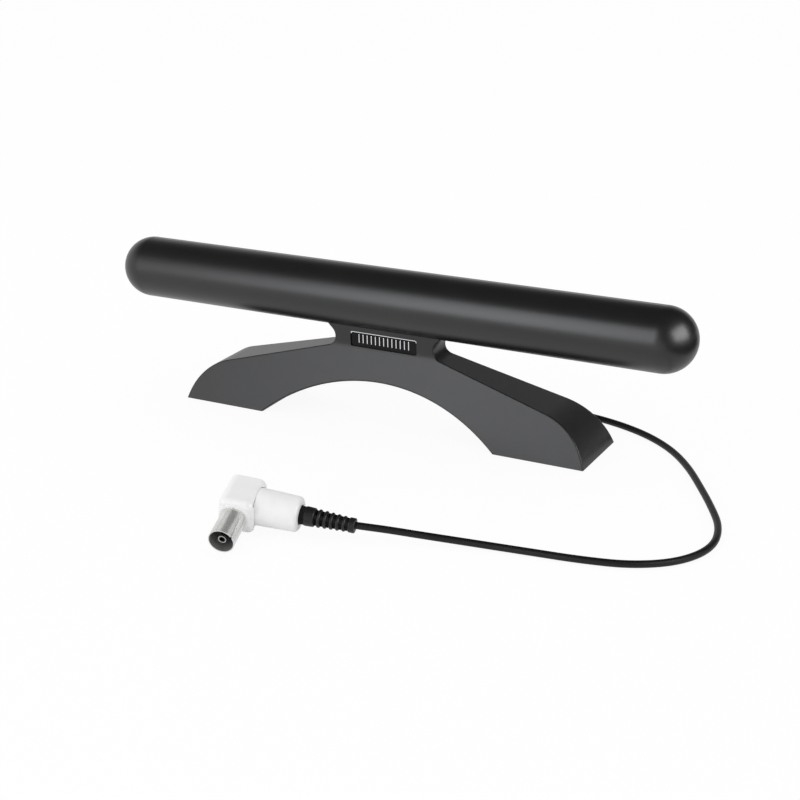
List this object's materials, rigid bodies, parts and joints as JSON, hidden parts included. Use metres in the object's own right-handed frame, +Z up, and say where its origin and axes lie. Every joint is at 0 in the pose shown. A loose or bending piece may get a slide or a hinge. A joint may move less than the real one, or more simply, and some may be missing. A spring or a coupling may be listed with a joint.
{
  "type": "fm antenna",
  "caption": "Indoor FM radio antenna: a round-ended bar on an arched tabletop stand, with a thin coaxial lead from the rear that ends in an angled push-on plug.",
  "frame": {"origin": "on the tabletop under the middle of the bar and the stand", "axes": "+X along the bar, to the right as seen from the badge side; +Y from the badge side to the rear; +Z up"},
  "size_m": [0.316, 0.2362, 0.0712],
  "materials": {
    "stand_black": "fine satin moulding",
    "bar_black": "satin, soft sheen",
    "pad_rubber": "matt",
    "badge_black": "polished",
    "badge_chrome": "bright",
    "board_green": "solder mask",
    "trace_copper": "bare copper",
    "ferrite": "matt sintered",
    "block_plastic": "as moulded",
    "screw_steel": "zinc plated",
    "lead_jacket": "satin jacket",
    "bush_rubber": "matt",
    "tie_plastic": "satin",
    "boot_rubber": "satin",
    "plug_white": "semi-gloss moulding",
    "plug_nickel": "nickel plated",
    "insulator_white": "as moulded"
  },
  "bodies": {
    "root": {"stand": "stand_black", "foot_pad_left": "pad_rubber", "foot_pad_right": "pad_rubber", "badge_plate": "badge_black", "badge_trim": "badge_chrome", "bar_tube": "bar_black", "end_cap_left": "bar_black", "end_cap_right": "bar_black", "antenna_board": "board_green", "dipole_left": "trace_copper", "dipole_right": "trace_copper", "balun_core": "ferrite", "clamp_block": "block_plastic", "neck_screw_left": "screw_steel", "neck_screw_right": "screw_steel", "feed_lead": "lead_jacket", "rear_grommet": "bush_rubber", "coax_rear": "lead_jacket", "coax_coil": "lead_jacket", "coil_tie": "tie_plastic", "coax_front": "lead_jacket", "plug_boot": "boot_rubber", "plug_sleeve": "plug_white", "plug_head": "plug_white", "plug_shell": "plug_nickel", "plug_insulator": "insulator_white", "plug_contact": "plug_nickel"}
  },
  "joints": []
}
